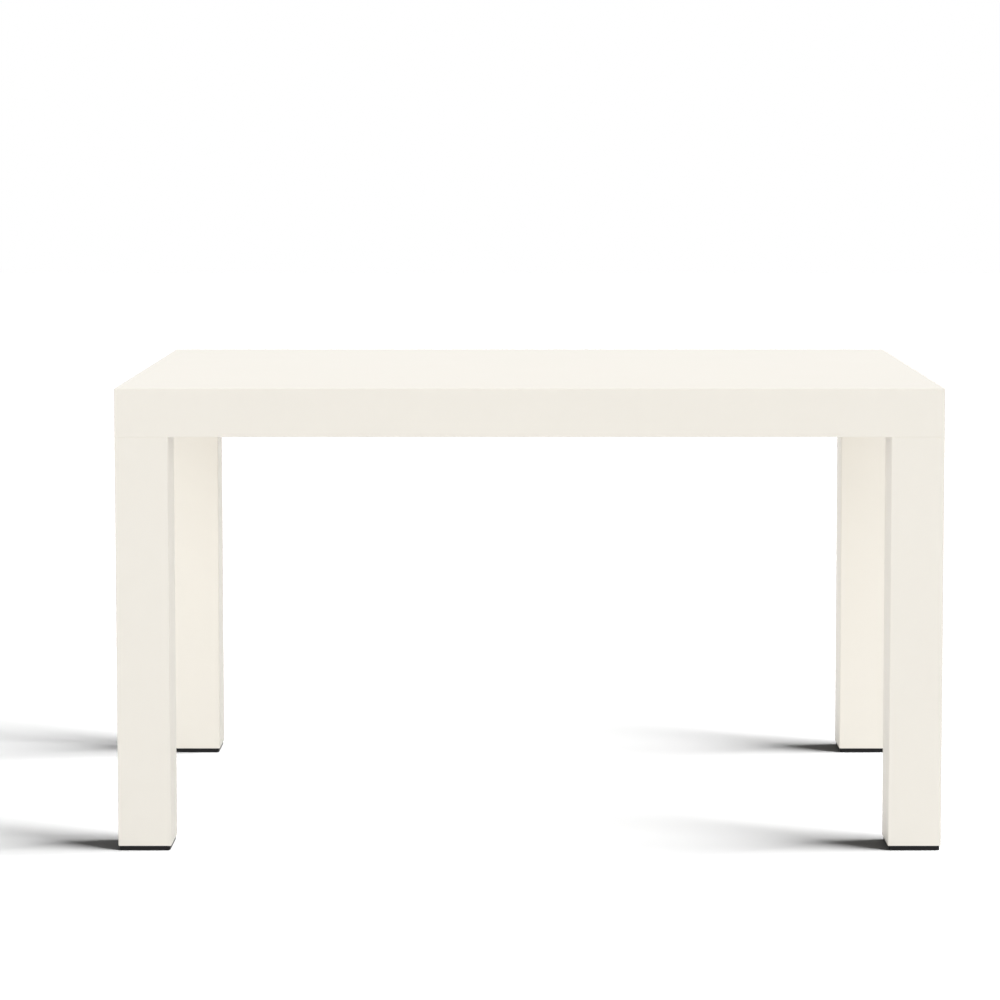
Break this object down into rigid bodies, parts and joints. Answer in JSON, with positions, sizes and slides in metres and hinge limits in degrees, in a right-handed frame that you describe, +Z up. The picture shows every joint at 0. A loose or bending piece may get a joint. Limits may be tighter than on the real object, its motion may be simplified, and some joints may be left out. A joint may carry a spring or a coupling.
{
  "type": "parsons dining table",
  "caption": "Rectangular dining table with a thick mitred slab top, square legs flush with its corners, and thin black foot plates that house levelling feet.",
  "frame": {"origin": "on the floor, below the middle of the table", "axes": "+X along the length to the right, +Y to the back, +Z up; the front faces -Y"},
  "size_m": [1.35, 0.9, 0.762],
  "materials": {
    "lacquer": "cream satin-gloss lacquer on fibreboard",
    "softwood": "planed softwood, unfinished",
    "zinc_steel": "bright zinc plate",
    "black_plastic": "moulded, fine matt",
    "nylon": "moulded, smooth"
  },
  "bodies": {
    "table": {"apron_back": "lacquer", "apron_front": "lacquer", "apron_left": "lacquer", "apron_right": "lacquer", "base_block_back_left": "softwood", "base_block_back_right": "softwood", "base_block_front_left": "softwood", "base_block_front_right": "softwood", "bracket_screws": "zinc_steel", "corner_bracket_back_left": "zinc_steel", "corner_bracket_back_right": "zinc_steel", "corner_bracket_front_left": "zinc_steel", "corner_bracket_front_right": "zinc_steel", "cross_rail_left": "softwood", "cross_rail_right": "softwood", "foot_inserts": "zinc_steel", "foot_plate_back_left": "black_plastic", "foot_plate_back_right": "black_plastic", "foot_plate_front_left": "black_plastic", "foot_plate_front_right": "black_plastic", "foot_plate_screws": "zinc_steel", "hanger_bolts": "zinc_steel", "hanger_nuts": "zinc_steel", "hanger_washers": "zinc_steel", "leg_back_left_back_board": "lacquer", "leg_back_left_front_board": "lacquer", "leg_back_left_left_board": "lacquer", "leg_back_left_right_board": "lacquer", "leg_back_right_back_board": "lacquer", "leg_back_right_front_board": "lacquer", "leg_back_right_left_board": "lacquer", "leg_back_right_right_board": "lacquer", "leg_front_left_back_board": "lacquer", "leg_front_left_front_board": "lacquer", "leg_front_left_left_board": "lacquer", "leg_front_left_right_board": "lacquer", "leg_front_right_back_board": "lacquer", "leg_front_right_front_board": "lacquer", "leg_front_right_left_board": "lacquer", "leg_front_right_right_board": "lacquer", "post_block_back_left": "softwood", "post_block_back_right": "softwood", "post_block_front_left": "softwood", "post_block_front_right": "softwood", "rail_angle_left_back": "zinc_steel", "rail_angle_left_front": "zinc_steel", "rail_angle_right_back": "zinc_steel", "rail_angle_right_front": "zinc_steel", "rail_angle_screws": "zinc_steel", "rail_screws": "zinc_steel", "top_panel": "lacquer"},
    "pad_front_left": {"foot_pad_front_left": "nylon"},
    "spindle_front_left": {"foot_spindle_front_left": "zinc_steel"},
    "pad_front_right": {"foot_pad_front_right": "nylon"},
    "spindle_front_right": {"foot_spindle_front_right": "zinc_steel"},
    "pad_back_right": {"foot_pad_back_right": "nylon"},
    "spindle_back_right": {"foot_spindle_back_right": "zinc_steel"},
    "pad_back_left": {"foot_pad_back_left": "nylon"},
    "spindle_back_left": {"foot_spindle_back_left": "zinc_steel"}
  },
  "joints": [
    {"name": "foot_front_left_travel", "type": "slide", "parent": "table", "child": "pad_front_left", "axis": [0, 0, -1], "range_m": [0, 0.009]},
    {"name": "foot_front_left_turn", "type": "hinge", "parent": "pad_front_left", "child": "spindle_front_left", "pos_m": [-0.6315, -0.4065, 0.02], "axis": [0, 0, -1], "range_deg": [0, 2160]},
    {"name": "foot_front_right_travel", "type": "slide", "parent": "table", "child": "pad_front_right", "axis": [0, 0, -1], "range_m": [0, 0.009]},
    {"name": "foot_front_right_turn", "type": "hinge", "parent": "pad_front_right", "child": "spindle_front_right", "pos_m": [0.6315, -0.4065, 0.02], "axis": [0, 0, -1], "range_deg": [0, 2160]},
    {"name": "foot_back_right_travel", "type": "slide", "parent": "table", "child": "pad_back_right", "axis": [0, 0, -1], "range_m": [0, 0.009]},
    {"name": "foot_back_right_turn", "type": "hinge", "parent": "pad_back_right", "child": "spindle_back_right", "pos_m": [0.6315, 0.4065, 0.02], "axis": [0, 0, -1], "range_deg": [0, 2160]},
    {"name": "foot_back_left_travel", "type": "slide", "parent": "table", "child": "pad_back_left", "axis": [0, 0, -1], "range_m": [0, 0.009]},
    {"name": "foot_back_left_turn", "type": "hinge", "parent": "pad_back_left", "child": "spindle_back_left", "pos_m": [-0.6315, 0.4065, 0.02], "axis": [0, 0, -1], "range_deg": [0, 2160]}
  ],
  "couplings": [
    {"joint": "foot_front_left_turn", "follows": "foot_front_left_travel", "rad_per_m": 4188.8},
    {"joint": "foot_front_right_turn", "follows": "foot_front_right_travel", "rad_per_m": 4188.8},
    {"joint": "foot_back_right_turn", "follows": "foot_back_right_travel", "rad_per_m": 4188.8},
    {"joint": "foot_back_left_turn", "follows": "foot_back_left_travel", "rad_per_m": 4188.8}
  ]
}
